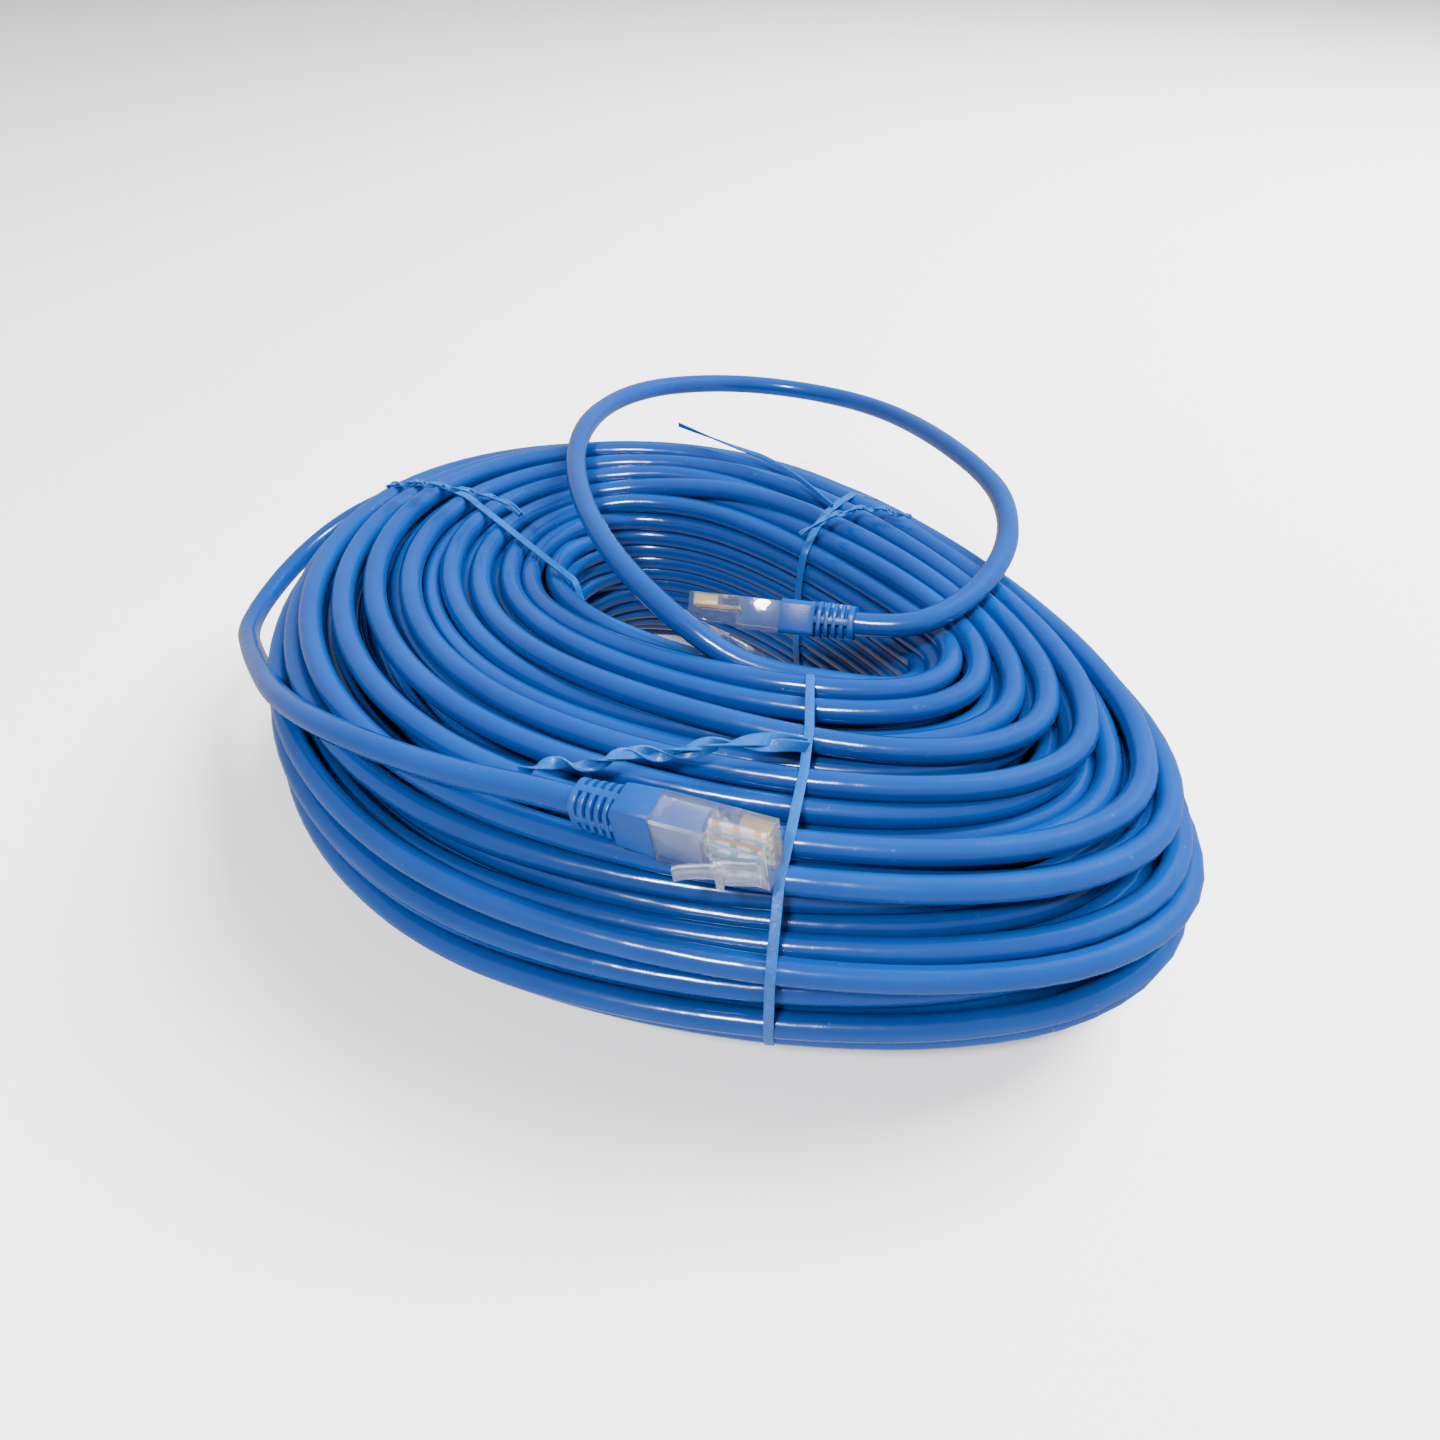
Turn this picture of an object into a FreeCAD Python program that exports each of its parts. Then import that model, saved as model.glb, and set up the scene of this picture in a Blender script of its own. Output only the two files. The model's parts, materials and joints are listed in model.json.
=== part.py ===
import FreeCAD, Part
import math
import os

# A long ethernet patch cable, wound into an egg-shaped coil that three wire ties hold.
# Frame: millimetres, +Z up, z = 0 is the surface that the coil lies on, and the origin is the
# middle of the whole part's box in plan. The coil's long axis lies along X.

Vector = FreeCAD.Vector
doc = FreeCAD.newDocument("patch_cable")
sheet = doc.addObject("Spreadsheet::Sheet", "Sizes")

DIMENSIONS = [
    # cable
    ("cable_diameter", 5.5),
    # coil: plan outline, hole, section
    ("coil_centre_x", 9.70),
    ("coil_centre_y", -24.80),
    ("coil_half_length", 123.0),
    ("coil_half_width", 84.0),
    ("coil_plan_power", 1.75),
    ("coil_taper", 0.234),
    ("hole_half_length", 49.3),
    ("hole_half_width", 18.6),
    ("hole_taper", 0.66),
    ("hole_shift_x", -8.6),
    ("hole_shift_y", 24.1),
    ("coil_height", 61.5),
    ("coil_foot_depth", 1.6),
    ("coil_section_power", 2.5),
    # ties
    ("tie_width", 2.0),
    ("tie_thickness", 0.9),
    ("tie_inset", 0.4),
    ("twist_radius", 1.2),
    ("twist_wire_radius", 0.5),
    # plug housing
    ("plug_length", 21.5),
    ("plug_width", 11.68),
    ("plug_height", 6.7),
    ("shoulder_length", 11.0),
    ("shoulder_height", 8.0),
    ("bore_width", 8.4),
    ("bore_height", 6.1),
    ("bore_depth", 10.2),
    ("channel_height", 1.3),
    ("channel_z", 0.2),
    ("channel_end", 20.3),
    ("slot_width", 0.45),
    ("slot_length", 5.9),
    ("slot_start", 14.8),
    ("window_start", 4.4),
    ("window_length", 3.6),
    ("window_width", 5.6),
    # contacts and conductors
    ("contact_pitch", 1.02),
    ("blade_thickness", 0.35),
    ("blade_length", 5.6),
    ("blade_recess", 0.45),
    ("wire_radius", 0.47),
    ("wire_start", 9.8),
    ("wire_end", 20.1),
    # load bar, wedge, jacket inside the plug
    ("bar_start", 10.5),
    ("bar_length", 1.6),
    ("bar_clearance", 0.02),
    ("jacket_end_x", 9.7),
    ("wedge_gap", 0.03),
    ("wedge_top_recess", 0.2),
    # latch lever
    ("latch_hinge_x", 20.6),
    ("latch_hinge_drop", 0.85),
    ("latch_knuckle_radius", 0.75),
    ("latch_width", 6.2),
    ("latch_shoulder_length", 7.6),
    ("latch_thickness", 1.2),
    ("latch_tail_width", 3.3),
    ("latch_tail_length", 14.8),
    ("latch_tail_thickness", 0.95),
    ("latch_step_height", 0.9),
    ("latch_step_length", 1.4),
    ("latch_rest_angle", 16.0),
    # boot
    ("boot_sleeve_length", 7.5),
    ("boot_rib_length", 8.0),
    ("boot_rear_width", 9.0),
    ("boot_rear_height", 8.2),
    ("boot_slot_width", 0.8),
    ("boot_slot_pitch", 1.65),
    ("boot_spine_width", 1.4),
    ("boot_core_radius", 3.15),
]
for row, (alias, number) in enumerate(DIMENSIONS, start=1):
    sheet.set(f"A{row}", alias)
    sheet.set(f"B{row}", str(number))
    sheet.setAlias(f"B{row}", alias)
doc.recompute()
size = {alias: float(sheet.get(alias)) for alias, _ in DIMENSIONS}

CONTACTS = 8
SLOT_ROWS = 4
COIL_SECTIONS = 32
ARC_SECTIONS = 4
SECTION_POINTS = 20

coil_centre = Vector(size["coil_centre_x"], size["coil_centre_y"], 0)

# Routes of the two free ends, measured from the coil's centre. Each starts at its boot's rear.
TAIL_A = [
    (19.9, -60.8, 65.0), (10.13, -62.8, 64.28), (-6.0, -67.5, 63.0), (-25.0, -70.5, 61.5),
    (-45.0, -71.0, 58.5), (-67.0, -67.0, 52.0), (-90.0, -58.0, 43.0), (-109.0, -50.0, 35.0),
    (-125.5, -42.0, 29.0), (-136.0, -30.5, 27.0), (-140.5, -16.0, 30.0), (-138.0, -1.5, 36.0),
    (-130.0, 10.0, 42.0), (-118.5, 19.5, 47.0),
]
TAIL_B = [
    (30.2, 17.5, 61.0), (37.72, 20.188, 61.416), (45.2, 26.0, 62.5), (50.8, 34.3, 64.0),
    (53.6, 44.9, 65.3), (52.8, 56.9, 66.0), (47.9, 68.9, 66.0), (38.5, 82.0, 65.2),
    (26.0, 95.0, 63.3), (11.0, 108.0, 60.5), (-4.5, 119.5, 57.5), (-20.5, 129.0, 54.5),
    (-37.5, 133.5, 52.5), (-55.5, 131.5, 52.0), (-71.0, 122.5, 53.5), (-82.0, 108.5, 56.0),
    (-88.0, 91.5, 59.0), (-87.0, 73.0, 62.0), (-80.0, 53.5, 65.0), (-69.0, 36.0, 66.0),
    (-52.5, 19.5, 66.5), (-33.5, 6.0, 66.5), (-14.0, -2.8, 65.2), (3.0, -5.5, 61.0),
    (17.0, -3.5, 55.5),
]
# Each plug's boot ends where its tail starts: (towards the nose, towards the contact side).
PLUG_A = (Vector(0.977, 0.200, 0.072), Vector(-0.20, 0.975, 0.07))
PLUG_B = (Vector(-0.940, -0.336, -0.052), Vector(-0.33, 0.50, 0.80))

# Angle round the coil at which each tie sits, and the ends of its twisted tail.
TIES = {
    "front": (-58.0, (41.5, -22.5, 63.2), (2.0, -58.5, 63.2)),
    "left": (185.0, (-63.6, 9.0, 63.4), (-102.0, 5.5, 62.9)),
    "back": (80.0, (2.0, 49.0, 63.2), (8.5, 64.0, 63.0)),
}
TIE_TAG = ((0.5, 55.0, 63.9), (-60.0, 73.0, 66.5))


def signed_power(value, power):
    return math.copysign(abs(value) ** power, value)


def outer_point(angle):
    """Outline of the coil in plan, an egg whose narrow end is at +X."""
    bend = 2 / size["coil_plan_power"]
    x = size["coil_half_length"] * signed_power(math.cos(angle), bend)
    y = size["coil_half_width"] * signed_power(math.sin(angle), bend)
    return coil_centre + Vector(x, y * (1 - size["coil_taper"] * math.cos(angle)), 0)


def hole_point(angle):
    """Outline of the coil's hole in plan, at the same angle."""
    x = size["hole_half_length"] * math.cos(angle) + size["hole_shift_x"]
    y = size["hole_half_width"] * math.sin(angle) * (1 - size["hole_taper"] * math.cos(angle))
    return coil_centre + Vector(x, y + size["hole_shift_y"], 0)


def section_wire(angle, inset, foot):
    """Rounded-square section of the coil: inset all round, and reaching foot below z = 0."""
    inner, outer = hole_point(angle), outer_point(angle)
    across = outer - inner
    half_width = across.Length / 2 - inset
    across.normalize()
    low, high = inset - foot, size["coil_height"] - inset
    middle = (inner + outer) * 0.5 + Vector(0, 0, (low + high) / 2)
    bend = 2 / size["coil_section_power"]
    points = []
    for step in range(SECTION_POINTS):
        turn = 2 * math.pi * step / SECTION_POINTS
        reach = across * (half_width * signed_power(math.cos(turn), bend))
        rise = Vector(0, 0, (high - low) / 2 * signed_power(math.sin(turn), bend))
        points.append(middle + reach + rise)
    curve = Part.BSplineCurve()
    curve.interpolate(points, PeriodicFlag=True)
    return Part.Wire([curve.toShape()])


def solid_feature(label, shape):
    feature = doc.addObject("Part::Feature", label)
    feature.Label = label
    feature.Shape = shape
    return feature


def tie_slab(angle, inset):
    """The part of the coil's section inside an inset outline, one tie's width thick."""
    along = (outer_point(angle) - hole_point(angle)).normalize().cross(Vector(0, 0, 1))
    face = Part.Face(section_wire(angle, inset, 0))
    face.translate(along * (-size["tie_width"] / 2))
    return face.extrude(along * size["tie_width"])


def make_ties_and_coil():
    wires = []
    for step in range(COIL_SECTIONS + 1):
        angle = 2 * math.pi * (step % COIL_SECTIONS) / COIL_SECTIONS
        wires.append(section_wire(angle, 0, size["coil_foot_depth"]))
    arcs = [Part.makeLoft(wires[first:first + ARC_SECTIONS + 1], True)
            for first in range(0, COIL_SECTIONS, ARC_SECTIONS)]
    coil = arcs[0].multiFuse(arcs[1:]).removeSplitter()
    reach = 4 * size["coil_half_length"]
    below = Part.makeBox(reach, reach, reach, Vector(-reach / 2, -reach / 2, -reach))
    coil = coil.cut(below)
    for name, (degrees, start, end) in TIES.items():
        angle = math.radians(degrees)
        outside = tie_slab(angle, -2 * size["coil_foot_depth"])
        core = tie_slab(angle, size["tie_inset"] + size["tie_thickness"])
        band = tie_slab(angle, size["tie_inset"]).cut(core)
        coil = coil.cut(outside.cut(core))
        solid_feature(f"tie_band_{name}", band)
        twist = make_rod(Vector(*start), Vector(*end), size["twist_radius"])
        if name == "back":
            tag = make_rod(Vector(*TIE_TAG[0]), Vector(*TIE_TAG[1]), size["twist_wire_radius"])
            twist = twist.fuse(tag)
        solid_feature(f"tie_twist_{name}", twist)
    solid_feature("cable_coil", coil)
    print("coil volume, cm3:", round(coil.Volume / 1000, 1))


def make_rod(start, end, radius):
    axis = end - start
    return Part.makeCylinder(radius, axis.Length, coil_centre + start, axis)


def make_tail(label, route):
    """A tube of straight runs joined by tangent arcs, each as large as its two runs allow."""
    points = [coil_centre + Vector(*point) for point in route]
    edges = []
    radii = []
    start = points[0]
    length = 0
    for before, corner, after in zip(points, points[1:], points[2:]):
        arriving, leaving = corner - before, after - corner
        half_turn = arriving.getAngle(leaving) / 2
        setback = 0.45 * min(arriving.Length, leaving.Length)
        radius = setback / math.tan(half_turn)
        arriving.normalize()
        leaving.normalize()
        begin, end = corner - arriving * setback, corner + leaving * setback
        towards = (leaving - arriving).normalize()
        middle = corner + towards * (radius / math.cos(half_turn) - radius)
        edges.append(Part.LineSegment(start, begin).toShape())
        edges.append(Part.Arc(begin, middle, end).toShape())
        length += (begin - start).Length + 2 * half_turn * radius
        radii.append(round(radius, 1))
        start = end
    edges.append(Part.LineSegment(start, points[-1]).toShape())
    length += (points[-1] - start).Length
    path = Part.Wire(edges)
    bore = size["cable_diameter"] / 2
    circle = Part.Wire([Part.Circle(points[0], points[1] - points[0], bore).toShape()])
    tube = path.makePipeShell([circle], True, False)
    solid_feature(label, tube)
    expected = math.pi * bore * bore * length
    print(label, "length", round(length, 1), "volume ratio", round(tube.Volume / expected, 4))
    print(label, "arc radii", radii)


def bind(feature, **expressions):
    """Binds properties to the sheet: a position is given as at_x, at_y and at_z."""
    for name, expression in expressions.items():
        target = name.replace("at_", "Placement.Base.") if name.startswith("at_") else name
        feature.setExpression(target, expression)
    return feature


def box(name, length, width, height, x, z, y="0"):
    """A box centred on y, with its low X face at x and its low Z face at z."""
    feature = doc.addObject("Part::Box", name)
    middle = f"{y} - ({width}) / 2"
    return bind(feature, Length=length, Width=width, Height=height, at_x=x, at_y=middle, at_z=z)


def rod(name, radius, length, x, y="0", z="0"):
    """A cylinder along +X."""
    feature = doc.addObject("Part::Cylinder", name)
    feature.Placement.Rotation = FreeCAD.Rotation(Vector(0, 1, 0), 90)
    return bind(feature, Radius=radius, Height=length, at_x=x, at_y=y, at_z=z)


def cut(label, base, tool):
    feature = doc.addObject("Part::Cut", label)
    feature.Label = label
    feature.Base = base
    feature.Tool = tool
    return feature


def join(label, pieces, kind="Part::MultiFuse"):
    feature = doc.addObject(kind, label)
    feature.Label = label
    if kind == "Part::Compound":
        feature.Links = pieces
    else:
        feature.Shapes = pieces
    return feature


def contact_y(index):
    return f"({index} - {(CONTACTS - 1) / 2}) * Sizes.contact_pitch"


def make_housing(end):
    """Clear body: nose and shoulders, a bore for the jacket, wire channel, slots and window."""
    nose = box(f"nose_{end}", "Sizes.plug_length", "Sizes.plug_width", "Sizes.plug_height",
               "0", "-Sizes.plug_height / 2")
    rise = "Sizes.shoulder_height / 2"
    shoulders = box(f"shoulders_{end}", "Sizes.shoulder_length", "Sizes.plug_width - 0.6",
                    f"{rise} + Sizes.plug_height / 2", "0", f"-{rise}")
    bore = box(f"jacket_bore_{end}", "Sizes.bore_depth + 1", "Sizes.bore_width",
               "Sizes.bore_height", "-1", "-Sizes.bore_height / 2")
    channel = box(f"wire_channel_{end}", "Sizes.channel_end - 5", "Sizes.bore_width",
                  "Sizes.channel_height", "5", "Sizes.channel_z - Sizes.channel_height / 2")
    window = box(f"wedge_window_{end}", "Sizes.window_length", "Sizes.window_width",
                 "Sizes.plug_height", "Sizes.window_start", "0")
    slots = [box(f"contact_slot_{end}_{index}", "Sizes.slot_length", "Sizes.slot_width",
                 "Sizes.plug_height", "Sizes.slot_start", "Sizes.channel_z", contact_y(index))
             for index in range(CONTACTS)]
    body = join(f"plug_outside_{end}", [nose, shoulders])
    hollow = join(f"plug_hollow_{end}", [bore, channel, window] + slots)
    return cut(f"plug_housing_{end}", body, hollow)


def make_contacts(end):
    blades = [box(f"blade_{end}_{index}", "Sizes.blade_length", "Sizes.blade_thickness",
                  "Sizes.plug_height / 2 - Sizes.blade_recess - Sizes.channel_z",
                  "Sizes.slot_start + (Sizes.slot_length - Sizes.blade_length) / 2",
                  "Sizes.channel_z", contact_y(index))
              for index in range(CONTACTS)]
    return join(f"contact_blades_{end}", blades, "Part::Compound")


WIRES = ["white_orange", "orange", "white_green", "blue", "white_blue", "green",
         "white_brown", "brown"]


def make_wires(end):
    """Eight insulated conductors side by side in the wire channel."""
    wires = []
    for index, colour in enumerate(WIRES):
        wire = rod(f"wire_{colour}_{end}", "Sizes.wire_radius",
                   "Sizes.wire_end - Sizes.wire_start", "Sizes.wire_start",
                   contact_y(index), "Sizes.channel_z")
        wire.Label = f"wire_{colour}_{end}"
        wires.append(wire)
    return wires


def make_load_bar(end):
    bar = box(f"bar_blank_{end}", "Sizes.bar_length", "Sizes.bore_width - 0.2",
              "Sizes.channel_height - 0.1", "Sizes.bar_start",
              "Sizes.channel_z - Sizes.channel_height / 2 + 0.05")
    holes = [rod(f"bar_hole_{end}_{index}", "Sizes.wire_radius + Sizes.bar_clearance",
                 "Sizes.bar_length + 2", "Sizes.bar_start - 1", contact_y(index),
                 "Sizes.channel_z")
             for index in range(CONTACTS)]
    return cut(f"load_bar_{end}", bar, join(f"bar_holes_{end}", holes))


def make_wedge(end):
    """Strain-relief wedge pressed through the window onto the jacket."""
    bottom = "(Sizes.cable_diameter / 2 + Sizes.wedge_gap)"
    wedge = box(f"crimp_wedge_{end}", "Sizes.window_length - 0.3", "Sizes.window_width - 0.3",
                f"Sizes.plug_height / 2 - Sizes.wedge_top_recess - {bottom}",
                "Sizes.window_start + 0.15", bottom)
    wedge.Label = f"crimp_wedge_{end}"
    return wedge


def make_jacket_end(end):
    """The cable's last stretch, through the boot and into the plug."""
    boot_length = "(Sizes.boot_sleeve_length + Sizes.boot_rib_length)"
    jacket = rod(f"jacket_end_{end}", "Sizes.cable_diameter / 2",
                 f"{boot_length} + Sizes.jacket_end_x", f"-{boot_length}")
    jacket.Label = f"jacket_end_{end}"
    return jacket


def make_latch(end):
    """Lever along -X from its knuckle, drawn lying parallel to the plug's underside."""
    knuckle = doc.addObject("Part::Cylinder", f"latch_knuckle_{end}")
    knuckle.Placement.Rotation = FreeCAD.Rotation(Vector(1, 0, 0), -90)
    bind(knuckle, Radius="Sizes.latch_knuckle_radius", Height="Sizes.latch_width",
         at_y="-Sizes.latch_width / 2")
    lever = box(f"latch_lever_{end}", "Sizes.latch_shoulder_length", "Sizes.latch_width",
                "Sizes.latch_thickness", "-Sizes.latch_shoulder_length",
                "-Sizes.latch_thickness / 2")
    step = box(f"latch_step_{end}", "Sizes.latch_step_length", "Sizes.latch_width",
               "Sizes.latch_step_height", "-Sizes.latch_shoulder_length",
               "-Sizes.latch_thickness / 2 - Sizes.latch_step_height")
    tail = box(f"latch_tail_{end}", "Sizes.latch_tail_length", "Sizes.latch_tail_width",
               "Sizes.latch_tail_thickness", "-Sizes.latch_tail_length",
               "-Sizes.latch_thickness / 2")
    return join(f"latch_lever_{end}_whole", [knuckle, lever, step, tail])


def boot_section(x, width, height, corner):
    """Rounded rectangle across X, as a wire."""
    flat = Part.makePlane(width, height, Vector(0, 0, 0))
    flat.Placement = FreeCAD.Placement(Vector(x, -width / 2, -height / 2),
                                       FreeCAD.Rotation(Vector(0, 1, 0), Vector(0, 0, 1),
                                                        Vector(1, 0, 0), "XYZ"))
    prism = flat.extrude(Vector(1, 0, 0))
    along = [edge for edge in prism.Edges
             if abs(edge.tangentAt(edge.FirstParameter).x) > 0.9]
    rounded = prism.makeFillet(corner, along)
    face = min(rounded.Faces, key=lambda side: side.CenterOfMass.x)
    return face.OuterWire


def make_boot(end):
    """Soft boot: a rectangular sleeve at the plug that rounds off into the slotted ribs."""
    sleeve, ribs = size["boot_sleeve_length"], size["boot_rib_length"]
    rear_wide, rear_high = size["boot_rear_width"], size["boot_rear_height"]
    front = boot_section(0, size["plug_width"], size["shoulder_height"], 0.8)
    neck = boot_section(-sleeve, rear_wide + 1, rear_high + 0.1, 2.6)
    tail = boot_section(-sleeve - ribs, rear_wide, rear_high, 3.4)
    body = Part.makeLoft([front, neck], True).fuse(Part.makeLoft([neck, tail], True))
    bore = Part.makeCylinder(size["cable_diameter"] / 2, 2 * (sleeve + ribs),
                             Vector(-sleeve - ribs - 1, 0, 0), Vector(1, 0, 0))
    body = body.cut(bore)
    core = Part.makeCylinder(size["boot_core_radius"], sleeve + ribs,
                             Vector(-sleeve - ribs, 0, 0), Vector(1, 0, 0))
    wide, spine = 2 * rear_wide, size["boot_spine_width"]
    for row in range(SLOT_ROWS):
        x = -sleeve - 0.7 - row * size["boot_slot_pitch"] - size["boot_slot_width"]
        ring = Part.makeBox(size["boot_slot_width"], wide, wide, Vector(x, -wide / 2, -wide / 2))
        upright = Part.makeBox(2 * ribs, spine, wide, Vector(x - ribs, -spine / 2, -wide / 2))
        level = Part.makeBox(2 * ribs, wide, spine, Vector(x - ribs, -wide / 2, -spine / 2))
        body = body.cut(ring.cut(upright).cut(level).cut(core))
    return solid_feature(f"boot_{end}", body.removeSplitter())


def make_plug(end, rear, directions):
    """Everything from the boot to the nose, in the plug's frame and then put in place."""
    nose_way, contact_way = directions
    boot_length = size["boot_sleeve_length"] + size["boot_rib_length"]
    turn = FreeCAD.Rotation(nose_way, Vector(0, 1, 0), contact_way, "XZY")
    base = coil_centre + Vector(*rear) + turn.multVec(Vector(boot_length, 0, 0))
    place = FreeCAD.Placement(base, turn)
    pieces = [make_housing(end), make_contacts(end), make_load_bar(end), make_wedge(end),
              make_jacket_end(end), make_boot(end)] + make_wires(end)
    doc.recompute()
    for piece in pieces:
        for path, _ in piece.ExpressionEngine:
            if "Placement" in path:
                piece.setExpression(path, None)
        piece.Placement = place.multiply(piece.Placement)
    drop = size["plug_height"] / 2 + size["latch_hinge_drop"]
    hinge = Vector(size["latch_hinge_x"], 0, -drop)
    open_turn = FreeCAD.Rotation(Vector(0, 1, 0), -size["latch_rest_angle"])
    latch = make_latch(end)
    latch.Label = f"plug_latch_{end}"
    doc.recompute()
    latch.Placement = place.multiply(FreeCAD.Placement(hinge, open_turn))
    for name, point in (("hinge", hinge), ("nose", Vector(size["plug_length"], 0, 0))):
        print(f"{name}_{end}", [round(value, 3) for value in place.multVec(point)])
    axis = turn.multVec(Vector(0, 1, 0))
    print(f"hinge_axis_{end}", [round(value, 5) for value in axis])
    return pieces + [latch]


make_ties_and_coil()
make_tail("cable_tail_a", TAIL_A)
make_tail("cable_tail_b", TAIL_B)
plugs = make_plug("a", TAIL_A[0], PLUG_A) + make_plug("b", TAIL_B[0], PLUG_B)
doc.recompute()

nodes = [feature for feature in doc.Objects
         if feature.TypeId == "Part::Feature" or feature in plugs]
for feature in doc.Objects:
    if "Invalid" in feature.State or "Error" in feature.State:
        raise RuntimeError(f"{feature.Label} failed to recompute")
for feature in nodes:
    if feature.Shape.isNull() or not feature.Shape.isValid():
        raise RuntimeError(f"{feature.Label} has no valid shape")

os.makedirs("parts", exist_ok=True)
whole = FreeCAD.BoundBox()
for feature in {node.Label: node for node in nodes}.values():
    whole.add(feature.Shape.BoundBox)
    feature.Shape.exportStep(f"parts/{feature.Label}.step")
print("nodes", len(nodes), "box", whole)
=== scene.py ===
import json
import math

import bpy
import numpy as np
from mathutils import Matrix, Vector

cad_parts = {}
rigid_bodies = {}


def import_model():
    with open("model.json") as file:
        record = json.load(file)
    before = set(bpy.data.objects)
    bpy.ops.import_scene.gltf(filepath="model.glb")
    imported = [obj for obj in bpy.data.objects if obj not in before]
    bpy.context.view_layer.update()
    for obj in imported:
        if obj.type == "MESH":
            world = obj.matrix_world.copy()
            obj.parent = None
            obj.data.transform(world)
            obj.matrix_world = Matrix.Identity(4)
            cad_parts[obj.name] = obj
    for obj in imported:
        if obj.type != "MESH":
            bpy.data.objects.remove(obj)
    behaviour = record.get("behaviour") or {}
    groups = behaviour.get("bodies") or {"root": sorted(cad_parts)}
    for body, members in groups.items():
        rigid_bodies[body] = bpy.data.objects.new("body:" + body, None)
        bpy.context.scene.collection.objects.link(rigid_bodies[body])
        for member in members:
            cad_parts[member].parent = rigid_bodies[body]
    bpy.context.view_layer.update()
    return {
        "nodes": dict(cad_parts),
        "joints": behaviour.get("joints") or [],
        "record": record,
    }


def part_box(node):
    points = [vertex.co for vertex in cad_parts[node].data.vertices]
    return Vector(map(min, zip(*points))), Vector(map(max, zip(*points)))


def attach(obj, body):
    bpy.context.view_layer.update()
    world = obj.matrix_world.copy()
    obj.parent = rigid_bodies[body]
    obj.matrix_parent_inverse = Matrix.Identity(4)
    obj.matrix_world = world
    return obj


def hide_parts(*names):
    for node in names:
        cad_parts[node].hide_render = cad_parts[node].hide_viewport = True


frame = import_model()
for piece in bpy.data.objects:
    piece.select_set(False)

MM = 0.001
CABLE = 5.5  # diameter of the jacket, mm

# The coil's middle in plan and its size, from its node's box; the rest of its shape is in mm.
coil_low, coil_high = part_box("cable_coil")
COIL_MIDDLE = np.array([(coil_low.x + coil_high.x) / 2, (coil_low.y + coil_high.y) / 2, 0]) / MM
COIL_HALF_LENGTH = (coil_high.x - coil_low.x) / 2 / MM
COIL_HEIGHT = coil_high.z / MM


# ---------------------------------------------------------------- camera

CAMERA_PLACE = (113.7, -145.1, 198.5)  # from the coil's middle, mm
CAMERA_BACK = (0.4195, -0.6133, 0.669)  # from what it looks at, towards it


def aim_camera():
    data = bpy.data.cameras.new("camera")
    camera = bpy.data.objects.new("camera", data)
    bpy.context.scene.collection.objects.link(camera)
    bpy.context.scene.camera = camera
    data.sensor_width = 36
    data.lens = 25
    data.shift_x = -0.0208
    data.shift_y = -0.0085
    data.clip_start = 0.01
    data.clip_end = 20
    camera.location = Vector(COIL_MIDDLE + np.array(CAMERA_PLACE)) * MM
    back = Vector(CAMERA_BACK).normalized()
    right = Vector((0.0, 0.0, 1.0)).cross(back).normalized()
    up = back.cross(right)
    turn = Matrix((right, up, back)).transposed()
    camera.rotation_mode = "QUATERNION"
    camera.rotation_quaternion = turn.to_quaternion()


aim_camera()


# ---------------------------------------------------------------- the cable's lay

# Free ends, from the coil's middle, mm: each starts at the rear of its boot.
TAIL_A = [
    (19.9, -60.8, 65.0), (10.13, -62.8, 64.28), (-6.0, -67.5, 63.0), (-25.0, -70.5, 61.5),
    (-45.0, -71.0, 58.5), (-67.0, -67.0, 52.0), (-90.0, -58.0, 43.0), (-109.0, -50.0, 35.0),
    (-125.5, -42.0, 29.0), (-136.0, -30.5, 27.0), (-140.5, -16.0, 30.0), (-138.0, -1.5, 36.0),
    (-130.0, 10.0, 42.0), (-118.5, 19.5, 47.0),
]
TAIL_B = [
    (30.2, 17.5, 61.0), (37.72, 20.188, 61.416), (45.2, 26.0, 62.5), (49.4, 35.2, 64.0),
    (50.6, 46.2, 65.3), (49.2, 58.6, 66.0), (44.4, 71.0, 66.0), (36.6, 83.6, 65.2),
    (26.0, 95.0, 63.3), (11.0, 108.0, 60.5), (-4.5, 119.5, 57.5), (-20.5, 129.0, 54.5),
    (-37.5, 133.5, 52.5), (-55.5, 131.5, 52.0), (-71.0, 122.5, 53.5), (-82.0, 108.5, 56.0),
    (-88.0, 91.5, 59.0), (-87.0, 73.0, 62.0), (-80.0, 53.5, 65.0), (-69.0, 36.0, 66.0),
    (-52.5, 19.5, 66.5), (-33.5, 6.0, 66.5), (-14.0, -2.8, 65.2), (3.0, -5.5, 61.0),
    (17.0, -3.5, 55.5),
]
TURNS = 88  # whole turns in the coil
STATIONS = 28  # places round the coil at which every turn has a point
TIED = (-58.0, 185.0, 80.0)  # degrees round the coil at each tie
LINE_STEPS = 4  # pieces that the cable's line is drawn in between two points
WINDING_STEPS = 300
PACKING_STEPS = 400

# The coil's plan, mm: an egg with a slit in it.
EGG_HALF_WIDTH = 84.0
EGG_POWER = 1.75
EGG_TAPER = 0.234
HOLE_HALF_LENGTH = 49.3
HOLE_HALF_WIDTH = 18.6
HOLE_TAPER = 0.66
HOLE_SHIFT = (-8.6, 24.1)
OUTSIDE_ROUNDING = 14.0
HOLE_ROUNDING = 6.0
WAVES = 48  # waves that an outline's reach is made of
OUTLINE_STEPS = 720


def signed_power(value, power):
    return np.sign(value) * np.abs(value) ** power


def outside_plan(angle, trim):
    """Outside of the coil in plan, trimmed all round: an egg whose narrow end is at +X."""
    bend = 2 / EGG_POWER
    x = (COIL_HALF_LENGTH - trim) * signed_power(np.cos(angle), bend)
    y = (EGG_HALF_WIDTH - trim) * signed_power(np.sin(angle), bend)
    y = y * (1 - EGG_TAPER * np.cos(angle))
    return np.stack([x, y], -1)


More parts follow.
